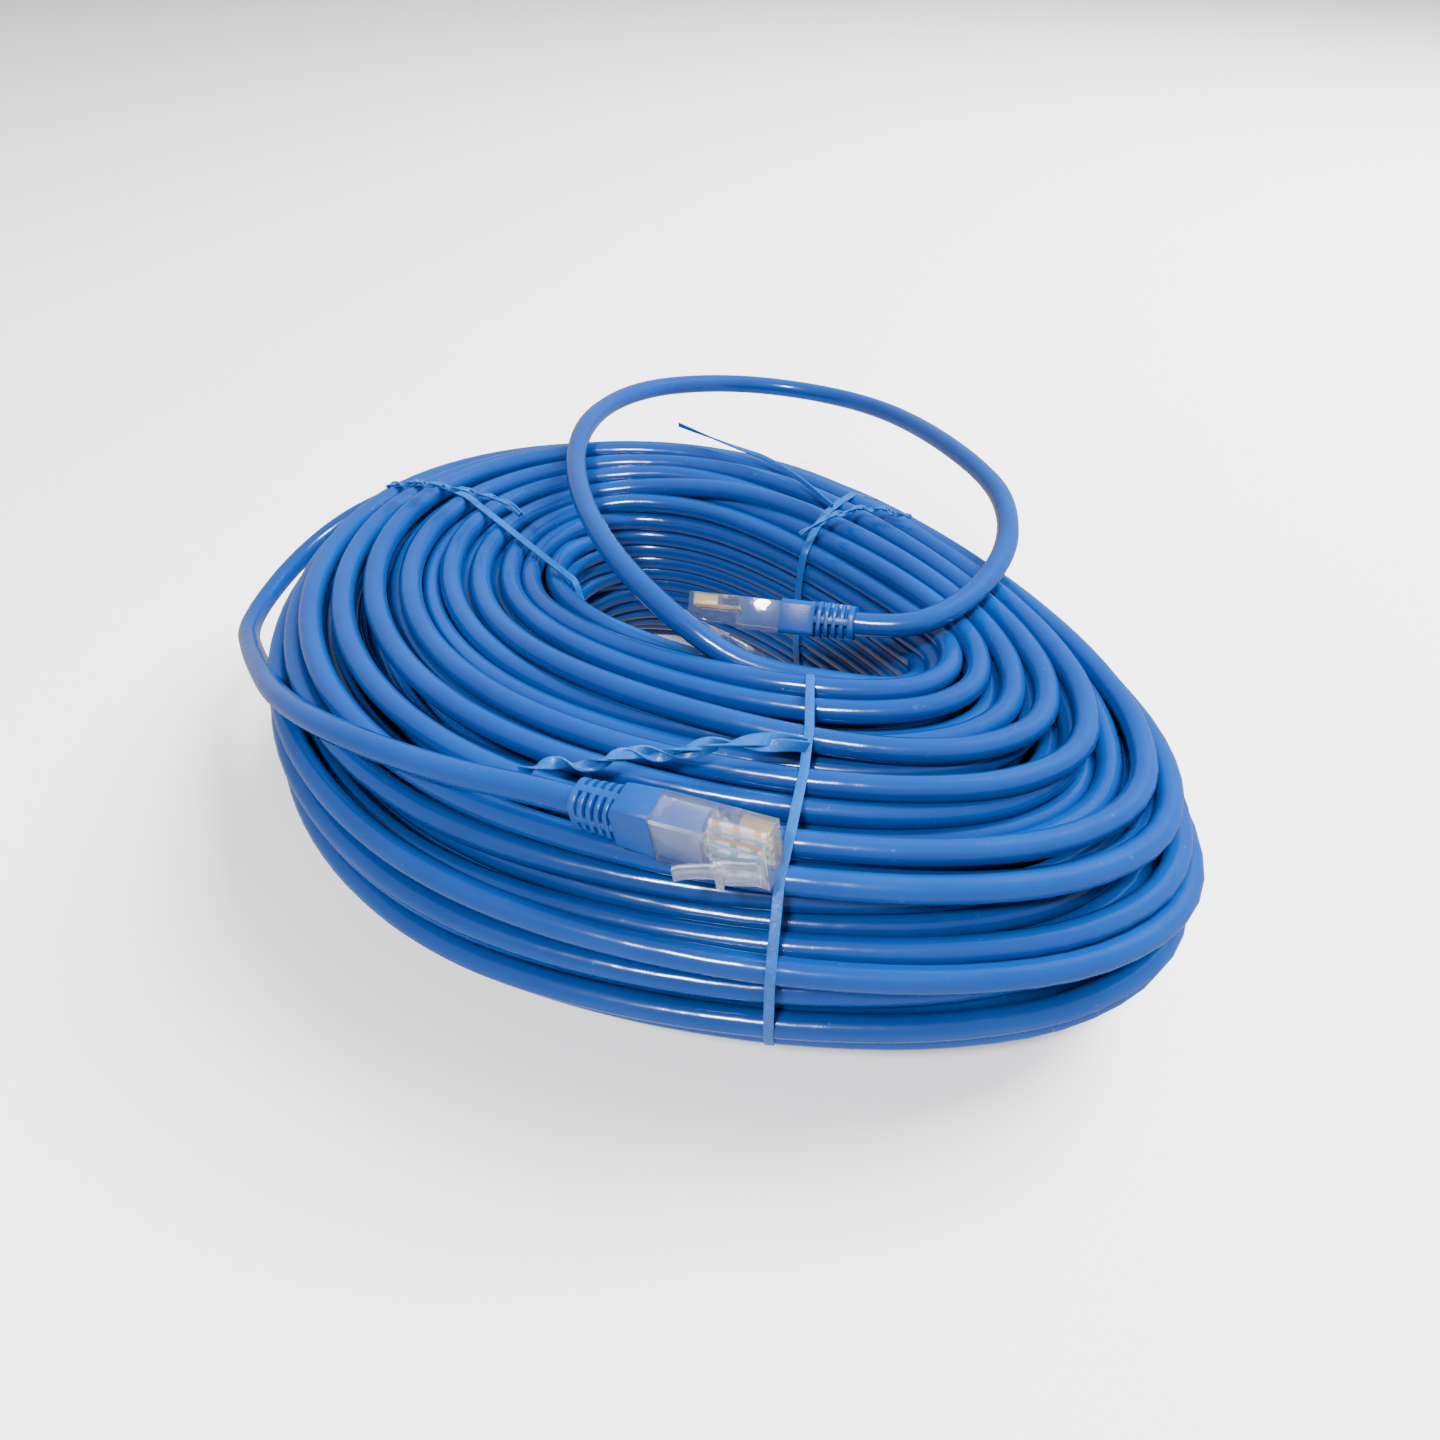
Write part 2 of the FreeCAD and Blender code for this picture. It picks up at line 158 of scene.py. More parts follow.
def hole_plan(angle, trim):
    """Inside of the coil in plan, trimmed all round: a slit behind its middle."""
    x = (HOLE_HALF_LENGTH - trim) * np.cos(angle)
    y = (HOLE_HALF_WIDTH - trim) * np.sin(angle) * (1 - HOLE_TAPER * np.cos(angle))
    return np.stack([x + HOLE_SHIFT[0], y + HOLE_SHIFT[1]], -1)


class Outline:
    """A convex outline in plan, as its reach in each direction, with its corners rounded."""

    def __init__(self, plan, rounding, softness):
        angle = 2 * np.pi * np.arange(OUTLINE_STEPS) / OUTLINE_STEPS
        facing = np.stack([np.cos(angle), np.sin(angle)])
        reach = (plan(angle, rounding) @ facing).max(0) + rounding
        self.waves = np.arange(WAVES + 1)
        blur = np.exp(-(self.waves * math.radians(softness)) ** 2 / 2)
        self.terms = np.fft.rfft(reach)[:WAVES + 1] / len(angle) * blur

    def reach(self, facing, order=0):
        """Reach in the directions given, or its first or second derivative."""
        turned = np.exp(1j * self.waves * np.asarray(facing)[..., None])
        terms = self.terms * np.where(self.waves == 0, 1, 2) * (1j * self.waves) ** order
        return (turned * terms).sum(-1).real


OUTSIDE = Outline(outside_plan, OUTSIDE_ROUNDING, 6.0)
INSIDE = Outline(hole_plan, HOLE_ROUNDING, 6.0)


def station_facings():
    """Directions, in radians, that divide the middle turn into equal lengths."""
    facing = np.linspace(0, 2 * np.pi, OUTLINE_STEPS + 1)
    radius = sum(side.reach(facing) + side.reach(facing, 2) for side in (OUTSIDE, INSIDE)) / 2
    along = np.concatenate([[0], np.cumsum((radius[1:] + radius[:-1]) / 2)])
    wanted = along[-1] * np.arange(STATIONS) / STATIONS
    return np.interp(wanted, along, facing)


def plan_point(facing, share):
    """Point in plan on the loop that lies a share of the way from the hole to the outside."""
    out = np.stack([np.cos(facing), np.sin(facing)], -1)
    along = np.stack([-np.sin(facing), np.cos(facing)], -1)
    reach = INSIDE.reach(facing) * (1 - share) + OUTSIDE.reach(facing) * share
    slide = INSIDE.reach(facing, 1) * (1 - share) + OUTSIDE.reach(facing, 1) * share
    return out * reach[..., None] + along * slide[..., None]


def nearest_place(point, facing):
    """Station and share of the way from hole to outside that a point in plan lies at."""
    share = np.linspace(0.0, 1.0, 81)
    plan = plan_point(*np.meshgrid(facing, share, indexing="ij"))
    gap = np.linalg.norm(plan - np.array(point[:2]), axis=2)
    station, index = np.unravel_index(gap.argmin(), gap.shape)
    return int(station), float(share[index])


def wander(rng, count, knots):
    """Slow random drift along the cable, smooth, of about unit size."""
    values = rng.normal(size=count // knots + 3)
    at = np.arange(count) / knots
    low = np.floor(at).astype(int)
    blend = at - low
    blend = blend * blend * (3 - 2 * blend)
    return values[low] * (1 - blend) + values[low + 1] * blend


def push_apart(u, z, spread, strength):
    """Moves of turns that lie nearer than spread to each other, in each column of u and z."""
    du = u[:, None] - u[None]
    dz = z[:, None] - z[None]
    gap = np.sqrt(du * du + dz * dz) + 1e-6
    over = np.clip(spread - gap, 0, None) / gap
    over[np.arange(len(u)), np.arange(len(u))] = 0
    return strength * (over * du).sum(1), strength * (over * dz).sum(1)


def keep_inside(u, z, half, tall):
    """Brings points back into the rounded section, which is squarest at its inner top."""
    bend = np.where(z > 0, np.where(u < 0, 4.2, 2.8), 2.1)
    far = (np.abs(u / half) ** bend + np.abs(z / tall) ** bend) ** (1 / bend)
    far = np.clip(far, 1, None)
    return u / far, z / far


def pack_turns(rng, half, tall):
    """Places of the turns in the coil's narrowest section, in the order they are wound.

    They go up and down in columns from the outside in, and are then packed tight.
    """
    progress = (np.arange(TURNS + 1) + 0.5) / (TURNS + 1)
    columns = 8
    column = np.floor(progress * columns)
    within = progress * columns - column
    side = 1 - 2 * (column + 0.5) / columns
    level = np.where(column % 2 == 0, 1 - 2 * within, 2 * within - 1)
    u = side * half + rng.normal(size=TURNS + 1) * 0.5
    z = level * tall * np.sqrt(1 - np.abs(side) ** 2.6 * 0.6) + rng.normal(size=TURNS + 1) * 0.5
    for step in range(PACKING_STEPS):
        move_u, move_z = push_apart(u[:, None], z[:, None], CABLE, 0.3)
        u, z = keep_inside(u + move_u[:, 0], z + move_z[:, 0], half, tall)
    return u / half, z / tall


def wind_coil():
    """Centreline of the turns, from tail A's end to tail B's, in mm from the coil's middle.

    Every turn has one point at each station. The points are pushed apart until the turns lie
    beside and on each other, while each turn is kept smooth and inside the coil's section.
    """
    rng = np.random.default_rng(7)
    facings = station_facings()
    first, share_first = nearest_place(TAIL_A[-1], facings)
    last, share_last = nearest_place(TAIL_B[-1], facings)
    count = TURNS * STATIONS + (first - last) % STATIONS + 1
    index = np.arange(count)
    station = (first - index) % STATIONS
    turn = index // STATIONS
    facing = facings[station]
    section = OUTSIDE.reach(facings) - INSIDE.reach(facings)
    width = section[station]
    middle = plan_point(facing, 0.5 + 0 * facing)
    bearing = np.arctan2(middle[:, 1], middle[:, 0])
    half = width / 2 - CABLE / 2
    tall = COIL_HEIGHT / 2 - CABLE / 2

    # each turn moves over to the next one's place as it goes round
    base_u, base_z = pack_turns(rng, half.min(), tall)
    base_u, base_z = np.append(base_u, base_u[-1]), np.append(base_z, base_z[-1])
    moved = (index % STATIONS) / STATIONS
    side = base_u[turn] * (1 - moved) + base_u[turn + 1] * moved
    level = base_z[turn] * (1 - moved) + base_z[turn + 1] * moved

    free = np.ones(count)
    for degrees in TIED:
        gap = np.abs((np.degrees(bearing) - degrees + 180) % 360 - 180)
        free = np.minimum(free, np.clip(gap / 45.0, 0.05, 1))
    side = side + 0.09 * free * wander(rng, count, 14)
    level = level + 0.11 * free * wander(rng, count, 12)

    reach = np.clip(np.hypot(side, level), 0.05, 1.2)
    swell = reach ** np.clip(1.12 - 0.0045 * width, 0.7, 0.95) / reach
    u = side * swell * half
    z = level * swell * tall
    wanted_u, wanted_z = u.copy(), z.copy()
    start = (share_first - 0.5) * width[0], TAIL_A[-1][2] - COIL_HEIGHT / 2
    end = (share_last - 0.5) * width[-1], TAIL_B[-1][2] - COIL_HEIGHT / 2

    rows = turn.max() + 1
    grid = -np.ones((rows, STATIONS), int)
    grid[turn, station] = index
    empty = grid < 0
    away = 1e6 * (1 + np.arange(rows))[:, None]
    even = 1.05 * np.sqrt(1.155 * 0.93 * section * COIL_HEIGHT / TURNS)
    ceiling = bowl_top(bearing, width)
    for step in range(WINDING_STEPS):
        late = step > WINDING_STEPS * 0.6
        spread = CABLE if late else np.maximum(even, CABLE)
        gu, gz = np.where(empty, away, u[grid]), np.where(empty, away, z[grid])
        move_u, move_z = push_apart(gu, gz, spread, 0.38 if late else 0.22)
        u = u + move_u[turn, station]
        z = z + move_z[turn, station]
        if not late:
            u = u + 0.015 * (wanted_u - u)
            z = z + 0.015 * (wanted_z - z)
        for pass_number in range(1 if late else 2):
            for values, scale in ((u, width), (z, 1.0)):
                plain = values / scale
                plain[1:-1] += 0.4 * ((plain[:-2] + plain[2:]) / 2 - plain[1:-1])
                values[:] = plain * scale
        u, z = keep_inside(u, z, half, tall)
        z = np.minimum(z, ceiling(u))
        u[0], z[0] = start
        u[-1], z[-1] = end
    plan = plan_point(facing, 0.5 + u / width)
    return np.column_stack([plan, z + COIL_HEIGHT / 2])


def bowl_top(bearing, width):
    """Highest level at a place across the section: the inner turns sit lower at the wide end."""
    lean = np.clip(np.cos(bearing - math.radians(190)), 0, 1) ** 1.5
    top = COIL_HEIGHT / 2 - CABLE / 2

    def level(u):
        inward = np.clip(0.5 - u / width, 0, 1)
        return top - 22 * lean * np.clip(inward - 0.3, 0, 1) ** 1.4

    return level


def lay_cable():
    coil = wind_coil()
    route = np.vstack([TAIL_A, coil[2:-2], TAIL_B[::-1]])
    return (route + COIL_MIDDLE) * MM


def spline_curve(name, points, diameter, sides):
    data = bpy.data.curves.new(name, "CURVE")
    data.dimensions = "3D"
    data.bevel_depth = 1.0
    data.bevel_resolution = sides
    data.resolution_u = LINE_STEPS
    data.use_fill_caps = True
    spline = data.splines.new("NURBS")
    spline.points.add(len(points) - 1)
    flat = np.column_stack([points, np.ones(len(points))]).astype(np.float32)
    spline.points.foreach_set("co", flat.ravel())
    spline.points.foreach_set("radius", np.full(len(points), diameter / 2, np.float32))
    spline.order_u = 3
    spline.use_endpoint_u = True
    piece = bpy.data.objects.new(name, data)
    bpy.context.scene.collection.objects.link(piece)
    return piece


def shown_line(piece):
    """The points that a curve is drawn through."""
    depth = piece.data.bevel_depth
    piece.data.bevel_depth = 0
    bpy.context.view_layer.update()
    graph = bpy.context.evaluated_depsgraph_get()
    mesh = bpy.data.meshes.new_from_object(piece.evaluated_get(graph))
    points = np.array([vertex.co for vertex in mesh.vertices])
    bpy.data.meshes.remove(mesh)
    piece.data.bevel_depth = depth
    return points


route = lay_cable()
cable = spline_curve("cable", route, CABLE * MM, 3)
cable_line = shown_line(cable)
cable_length = float(np.linalg.norm(np.diff(cable_line, axis=0), axis=1).sum())
print("cable length, m:", round(cable_length, 2))
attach(cable, "cable")
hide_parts("cable_coil", "cable_tail_a", "cable_tail_b")


# ---------------------------------------------------------------- hand tools

def deselect():
    bpy.ops.object.select_all(action="DESELECT")


def edit_faces(piece, wanted):
    """Opens a piece in edit mode with the faces selected whose middle (mm) and normal suit."""
    bpy.context.view_layer.objects.active = piece
    bpy.ops.object.mode_set(mode="EDIT")
    bpy.ops.mesh.select_mode(type="FACE")
    bpy.ops.mesh.select_all(action="DESELECT")
    bpy.ops.object.mode_set(mode="OBJECT")
    for face in piece.data.polygons:
        face.select = bool(wanted(face.center / MM, face.normal))
    bpy.ops.object.mode_set(mode="EDIT")


def edit_edges(piece, wanted):
    """Opens a piece in edit mode with the edges selected whose ends (mm) suit."""
    bpy.context.view_layer.objects.active = piece
    bpy.ops.object.mode_set(mode="EDIT")
    bpy.ops.mesh.select_mode(type="EDGE")
    bpy.ops.mesh.select_all(action="DESELECT")
    bpy.ops.object.mode_set(mode="OBJECT")
    points = [vertex.co / MM for vertex in piece.data.vertices]
    for edge in piece.data.edges:
        edge.select = bool(wanted(points[edge.vertices[0]], points[edge.vertices[1]]))
    bpy.ops.object.mode_set(mode="EDIT")


def leave_edit():
    bpy.ops.object.mode_set(mode="OBJECT")


def add_block(name, low, high):
    """A box between two corners, mm."""
    deselect()
    low, high = Vector(low) * MM, Vector(high) * MM
    bpy.ops.mesh.primitive_cube_add(size=1, location=(low + high) / 2)
    block = bpy.context.object
    block.name = name
    block.scale = high - low
    bpy.ops.object.transform_apply(location=True, rotation=True, scale=True)
    return block


def add_rod(name, start, radius, length, axis="X", sides=24):
    """A cylinder from a point (mm) along an axis."""
    deselect()
    turn = {"X": (0, math.pi / 2, 0), "Y": (math.pi / 2, 0, 0), "Z": (0, 0, 0)}[axis]
    along = Vector({"X": (1, 0, 0), "Y": (0, 1, 0), "Z": (0, 0, 1)}[axis])
    middle = (Vector(start) + along * length / 2) * MM
    bpy.ops.mesh.primitive_cylinder_add(vertices=sides, radius=radius * MM, depth=length * MM,
                                        location=middle, rotation=turn)
    bpy.context.object.name = name
    bpy.ops.object.transform_apply(location=True, rotation=True, scale=True)
    return bpy.context.object


def round_edges(piece, wanted, offset, segments=3):
    edit_edges(piece, wanted)
    bpy.ops.mesh.bevel(offset=offset * MM, segments=segments, affect="EDGES")
    leave_edit()


def apply_modifier(piece, kind, **settings):
    bpy.context.view_layer.objects.active = piece
    modifier = piece.modifiers.new(kind.lower(), kind)
    for key, value in settings.items():
        setattr(modifier, key, value)
    bpy.ops.object.modifier_apply(modifier=modifier.name)


def carve(piece, cutters):
    """Takes blocks out of a piece."""
    for cutter in cutters:
        apply_modifier(piece, "BOOLEAN", operation="DIFFERENCE", object=cutter, solver="EXACT")
        bpy.data.objects.remove(cutter)


def merge(name, pieces):
    """Joins pieces into the first of them."""
    deselect()
    for piece in pieces:
        piece.select_set(True)
    bpy.context.view_layer.objects.active = pieces[0]
    bpy.ops.object.join()
    pieces[0].name = name
    return pieces[0]


def finish_edges(piece, width, angle=40):
    """Small rounding on every sharp edge, then smooth shading."""
    apply_modifier(piece, "BEVEL", width=width * MM, segments=2, limit_method="ANGLE",
                   angle_limit=math.radians(angle))
    deselect()
    piece.select_set(True)
    bpy.context.view_layer.objects.active = piece
    bpy.ops.object.shade_smooth_by_angle(angle=math.radians(38))


# ---------------------------------------------------------------- plug pieces
# Drawn in the plug's own frame, mm: nose towards +X, contacts towards +Z, rear at x = 0.

PLUG_LENGTH = 21.5
PLUG_WIDTH = 11.68
PLUG_HEIGHT = 6.7
CONTACT_PITCH = 1.02
HALF_HEIGHT = PLUG_HEIGHT / 2
LATCH_REST = 16.0


def contact_places():
    return [(index - 3.5) * CONTACT_PITCH for index in range(8)]


def model_housing():
    """Clear body: thicker at the rear, hollow for the jacket, with slots for the contacts."""
    body = add_block("housing", (0, -PLUG_WIDTH / 2, -HALF_HEIGHT),
                     (PLUG_LENGTH, PLUG_WIDTH / 2, HALF_HEIGHT))
    edit_faces(body, lambda middle, normal: True)
    bpy.ops.mesh.bisect(plane_co=(11.0 * MM, 0, 0), plane_no=(1, 0, 0))
    bpy.ops.mesh.select_all(action="SELECT")
    bpy.ops.mesh.bisect(plane_co=(9.6 * MM, 0, 0), plane_no=(1, 0, 0))
    leave_edit()
    edit_faces(body, lambda middle, normal: normal.z < -0.9 and middle.x < 9.6)
    bpy.ops.mesh.extrude_region_move(TRANSFORM_OT_translate={"value": (0, 0, -0.65 * MM)})
    leave_edit()
    root = add_block("root", (19.85, -3.1, -HALF_HEIGHT - 0.45), (21.2, 3.1, -HALF_HEIGHT + 0.3))
    apply_modifier(body, "BOOLEAN", operation="UNION", object=root, solver="EXACT")
    bpy.data.objects.remove(root)
    cutters = [
        add_block("bore", (-1, -4.2, -3.05), (10.2, 4.2, 3.05)),
        add_block("channel", (5, -4.2, -0.45), (20.3, 4.2, 0.85)),
        add_block("window", (4.4, -2.8, 0), (8.0, 2.8, 6)),
        add_block("wire_window", (12.6, -4.1, 2.45), (14.2, 4.1, 6)),
    ]
    for place in contact_places():
        cutters.append(add_block("slot", (14.8, place - 0.24, 0.2), (20.7, place + 0.24, 6)))
    carve(body, cutters)
    finish_edges(body, 0.16, 50)
    return body


def model_latch():
    """Lever: a wide root half, a step, then a narrower tail that curls up at its tip."""
    lever = add_block("latch", (13.0, -3.1, -0.6), (20.6, 3.1, 0.6))
    edit_faces(lever, lambda middle, normal: normal.x < -0.9)
    bpy.ops.mesh.inset(thickness=0.02 * MM)
    bpy.ops.transform.resize(value=(1, 0.54, 0.78))
    bpy.ops.mesh.extrude_region_move(TRANSFORM_OT_translate={"value": (-3.6 * MM, 0, -0.12 * MM)})
    bpy.ops.mesh.extrude_region_move(TRANSFORM_OT_translate={"value": (-2.4 * MM, 0, -0.30 * MM)})
    bpy.ops.mesh.extrude_region_move(TRANSFORM_OT_translate={"value": (-1.2 * MM, 0, -0.42 * MM)})
    leave_edit()
    step = add_block("step", (13.0, -3.1, -1.5), (14.4, 3.1, -0.5))
    knuckle = add_rod("knuckle", (20.6, -3.1, 0), 0.72, 6.2, "Y")
    for part in (step, knuckle):
        apply_modifier(lever, "BOOLEAN", operation="UNION", object=part, solver="EXACT")
        bpy.data.objects.remove(part)
    finish_edges(lever, 0.14, 50)
    # its root sits under the body's nose, and it hangs open at rest
    lever.data.transform(Matrix.Translation(Vector((-20.6, 0, 0)) * MM))
    lever.data.transform(Matrix.Rotation(math.radians(-LATCH_REST), 4, "Y"))
    lever.data.transform(Matrix.Translation(Vector((20.6, 0, -HALF_HEIGHT - 0.85)) * MM))
    return lever


def model_boot():
    """Moulded boot: a sleeve over the plug's rear, then rings on two spines down to the cable."""
    sleeve = add_block("boot", (-6.4, -PLUG_WIDTH / 2, -4.0), (0, PLUG_WIDTH / 2, 3.9))
    edit_faces(sleeve, lambda middle, normal: normal.x < -0.9)
    bpy.ops.transform.resize(value=(1, 0.90, 1.0))
    bpy.ops.mesh.extrude_region_move(TRANSFORM_OT_translate={"value": (-1.3 * MM, 0, 0)})
    bpy.ops.transform.resize(value=(1, 0.93, 1.02))
    leave_edit()
    round_edges(sleeve, lambda a, b: abs(a.x - b.x) > 0.5, 1.3, 4)
    parts = [sleeve, add_rod("core", (-15.3, 0, 0), 3.15, 9.0, "X", 32)]
    for number in range(5):
        front = -8.3 - number * 1.72
        thick = 1.35 if number == 4 else 0.92
        slim = 1 - 0.018 * number
        ring = add_block("ring", (front - thick, -4.75 * slim, -4.15 * slim),
                         (front, 4.75 * slim, 4.15 * slim))
        round_edges(ring, lambda a, b: abs(a.x - b.x) > 0.5, 2.9, 6)
        parts.append(ring)
    parts.append(add_block("spine", (-15.4, -4.55, -0.75), (-7.0, 4.55, 0.75)))
    parts.append(add_block("keel", (-15.4, -0.75, -3.95), (-7.0, 0.75, 3.95)))
    parts.append(add_rod("collar", (-15.6, 0, 0), 3.45, 0.8, "X", 32))
    # a tongue that fills the plug's rear, round the jacket
    parts.append(add_block("tongue", (-0.5, -4.05, -2.9), (9.2, 4.05, 2.62)))
    for part in parts:
        finish_edges(part, 0.14, 50)
    return merge("boot", parts)


def plug_place(end):
    """Matrix from the plug's own frame to its place on the object."""
    mounts = {mount["name"]: mount for mount in frame["record"]["mounts"]}
    joints = {joint["name"]: joint for joint in frame["joints"]}
    nose = mounts[f"plug_{end}_insertion"]
    ahead = Vector(nose["axis"]).normalized()
    across = Vector(joints[f"latch_{end}_flex"]["axis"])
    across = (across - ahead * across.dot(ahead)).normalized()
    rise = ahead.cross(across)
    turn = Matrix((ahead, across, rise)).transposed().to_4x4()
    rear = Vector(nose["pos_m"]) - ahead * PLUG_LENGTH * MM
    return Matrix.Translation(rear) @ turn


def place_copy(model, name, place, body, node):
    """A copy with its own mesh, in place, that stands for a node."""
    copy = bpy.data.objects.new(name, model.data.copy())
    bpy.context.scene.collection.objects.link(copy)
    copy.data.transform(place)
    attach(copy, body)
    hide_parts(node)
    return copy


shown = {}
models = {"housing": model_housing(), "latch": model_latch(), "boot": model_boot()}
for end in "ab":
    place = plug_place(end)
    shown[f"housing_{end}"] = place_copy(models["housing"], f"housing_{end}", place, "cable",
                                         f"plug_housing_{end}")
    shown[f"latch_{end}"] = place_copy(models["latch"], f"latch_{end}", place, f"latch_{end}",
                                       f"plug_latch_{end}")
    shown[f"boot_{end}"] = place_copy(models["boot"], f"strain_relief_{end}", place, "cable",
                                      f"boot_{end}")
for model in models.values():
    bpy.data.objects.remove(model)


# ---------------------------------------------------------------- wire ties

TIE_WIDTH = 2.0
TIE_WALL = 0.55
TIE_TAIL_POINTS = 46
# Where each tie's band goes over the coil in plan, mm from its middle: inner and outer end.
TIE_LINES = {
    "front": ((26.8, 5.0), (55.8, -51.8)),
    "left": ((-34.0, 3.0), (-112.0, 4.0)),
    "back": ((5.0, 20.0), (6.5, 92.0)),
}
# How far each band bows sideways over the top, mm.
TIE_BOWS = {"front": 2.4, "left": -8.0, "back": 4.5}
# Twisted tails, mm from the coil's middle.
TIE_TAILS = {
    "front": [(44.2, -24.4, 63.8), (43.0, -26.6, 65.8), (37.9, -31.6, 66.8), (30.8, -38.0, 67.0),
              (23.5, -44.6, 66.8), (15.3, -51.8, 66.2), (9.3, -56.4, 65.4), (3.0, -60.3, 64.4)],
    "left": [(-62.5, 7.6, 62.6), (-66.0, 8.2, 64.0), (-74.6, 7.1, 64.6), (-83.8, 4.7, 65.0),
             (-93.3, 2.3, 65.0), (-98.9, -1.3, 64.4), (-101.5, -2.6, 63.4)],
    "back": [(2.4, 40.0, 62.8), (4.0, 43.5, 64.4), (6.4, 49.4, 65.0), (9.8, 56.0, 65.2),
             (15.6, 60.4, 65.0), (22.0, 61.6, 63.8)],
}


def turns_crossing(inner, outer):
    """Where the cable crosses the upright plane through a tie: distance out and height, mm."""
    inner, outer = np.array(inner), np.array(outer)
    out = (outer - inner) / np.linalg.norm(outer - inner)
    square = np.array([-out[1], out[0]])
    line = cable_line / MM - COIL_MIDDLE
    line = line[len(TAIL_A) * LINE_STEPS:-len(TAIL_B) * LINE_STEPS]
    off = (line[:, :2] - inner) @ square
    far = (line[:, :2] - inner) @ out
    swaps = np.nonzero(off[:-1] * off[1:] <= 0)[0]
    share = off[swaps] / (off[swaps] - off[swaps + 1])
    found = np.column_stack([far, line[:, 2]])
    crossing = found[swaps] + (found[swaps + 1] - found[swaps]) * share[:, None]
    reach = np.linalg.norm(outer - inner)
    near = (crossing[:, 0] > -14) & (crossing[:, 0] < reach + 14)
    return crossing[near], out, square


def wrap_round(crossing):
    """Closed outline that a band pulled tight round the crossings takes, outside the cable."""
    angle = np.linspace(0, 2 * np.pi, 24, endpoint=False)
    circle = np.column_stack([np.cos(angle), np.sin(angle)]) * (CABLE / 2 + 0.25)
    points = (crossing[:, None] + circle[None]).reshape(-1, 2)
    points[:, 1] = np.clip(points[:, 1], 0.05, None)
    facing = np.linspace(0, 2 * np.pi, OUTLINE_STEPS, endpoint=False)
    ways = np.column_stack([np.cos(facing), np.sin(facing)])
    corners = points[np.argmax(points @ ways.T, axis=0)]
    keep = np.linalg.norm(corners - np.roll(corners, 1, axis=0), axis=1) > 0.05
    return corners[keep]


def model_band(name):
    """A flat band round the coil: an outline drawn out to the tie's width, then given a wall."""
    inner, outer = TIE_LINES[name]
    crossing, out, square = turns_crossing(inner, outer)
    loop = wrap_round(crossing)
    deselect()
    bpy.ops.mesh.primitive_circle_add(vertices=len(loop), radius=0.01, fill_type="NOTHING")
    band = bpy.context.object
    band.name = f"band_{name}"
    start = np.append(np.array(inner), 0) + COIL_MIDDLE
    out3, square3 = np.append(out, 0), np.append(square, 0)
    reach = np.linalg.norm(np.array(outer) - inner)
    for vertex, (far, height) in zip(band.data.vertices, loop):
        bow = TIE_BOWS[name] * math.sin(math.pi * min(max(far / reach, 0), 1))
        spot = start + out3 * far + square3 * (bow - TIE_WIDTH / 2) + np.array([0, 0, height])
        vertex.co = Vector(spot) * MM
    bpy.ops.object.mode_set(mode="EDIT")
    bpy.ops.mesh.select_all(action="SELECT")
    drawn = Vector(square3 * TIE_WIDTH) * MM
    bpy.ops.mesh.extrude_edges_move(TRANSFORM_OT_translate={"value": drawn})
    bpy.ops.mesh.select_all(action="SELECT")
    bpy.ops.mesh.normals_make_consistent(inside=False)
    leave_edit()
    apply_modifier(band, "SOLIDIFY", thickness=TIE_WALL * MM, offset=-1.0)
    finish_edges(band, 0.16, 50)
    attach(band, "cable")
    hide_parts(f"tie_band_{name}")
    return band


def ribbon(name, points, width, twists, phase, radius):
    """A flat strip that winds round a route: points in m, twists whole turns."""
    data = bpy.data.curves.new(name, "CURVE")
    data.dimensions = "3D"
    data.extrude = width / 2 * MM
    data.bevel_depth = 0.26 * MM
    data.bevel_resolution = 2
    data.resolution_u = 3
    data.use_fill_caps = True
    data.twist_mode = "Z_UP"
    count = len(points)
    spline = data.splines.new("NURBS")
    spline.points.add(count - 1)
    ahead = np.gradient(points, axis=0)
    ahead /= np.linalg.norm(ahead, axis=1)[:, None]
    level = np.cross(ahead, [0, 0, 1])
    level /= np.linalg.norm(level, axis=1)[:, None]
    upward = np.cross(level, ahead)
    for index, point in enumerate(spline.points):
        turn = 2 * math.pi * (twists * (index / (count - 1)) ** 1.6 + phase)
        offset = (level[index] * math.cos(turn) + upward[index] * math.sin(turn)) * radius * MM
        point.co = (*(points[index] + offset), 1)
        point.tilt = turn
    spline.order_u = 3
    spline.use_endpoint_u = True
    piece = bpy.data.objects.new(name, data)
    bpy.context.scene.collection.objects.link(piece)
    deselect()
    piece.select_set(True)
    bpy.context.view_layer.objects.active = piece
    bpy.ops.object.convert(target="MESH")
    return bpy.context.object


def smooth_route(points, count):
    """Points evenly spread along the smooth line that a route's points control."""
    guide = spline_curve("guide", (np.array(points) + COIL_MIDDLE) * MM, 0.001, 1)
    guide.data.resolution_u = 24
    line = shown_line(guide)
    bpy.data.objects.remove(guide)
    along = np.concatenate([[0], np.cumsum(np.linalg.norm(np.diff(line, axis=0), axis=1))])
    wanted = np.linspace(0, along[-1], count)
    return np.column_stack([np.interp(wanted, along, line[:, axis]) for axis in range(3)])


def model_tie_tail(name):
    """Both ends of a tie, twisted round each other and splayed at the tips."""
    rng = np.random.default_rng(len(name))
    line = smooth_route(TIE_TAILS[name], TIE_TAIL_POINTS)
    line[:, 2] += np.cumsum(rng.normal(size=TIE_TAIL_POINTS)) * 0.05 * MM
    twists, width, radius = {"front": (2.6, 2.1, 0.62), "left": (4.5, 0.8, 0.42),
                             "back": (3.5, 0.8, 0.42)}[name]
    strands = [ribbon(f"strand_{name}_{number}", line[:TIE_TAIL_POINTS - 6 * number], width,
                      twists, number / 2, radius) for number in (0, 1)]
    for strand in strands:
        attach(strand, "cable")
    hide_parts(f"tie_twist_{name}")
    return strands


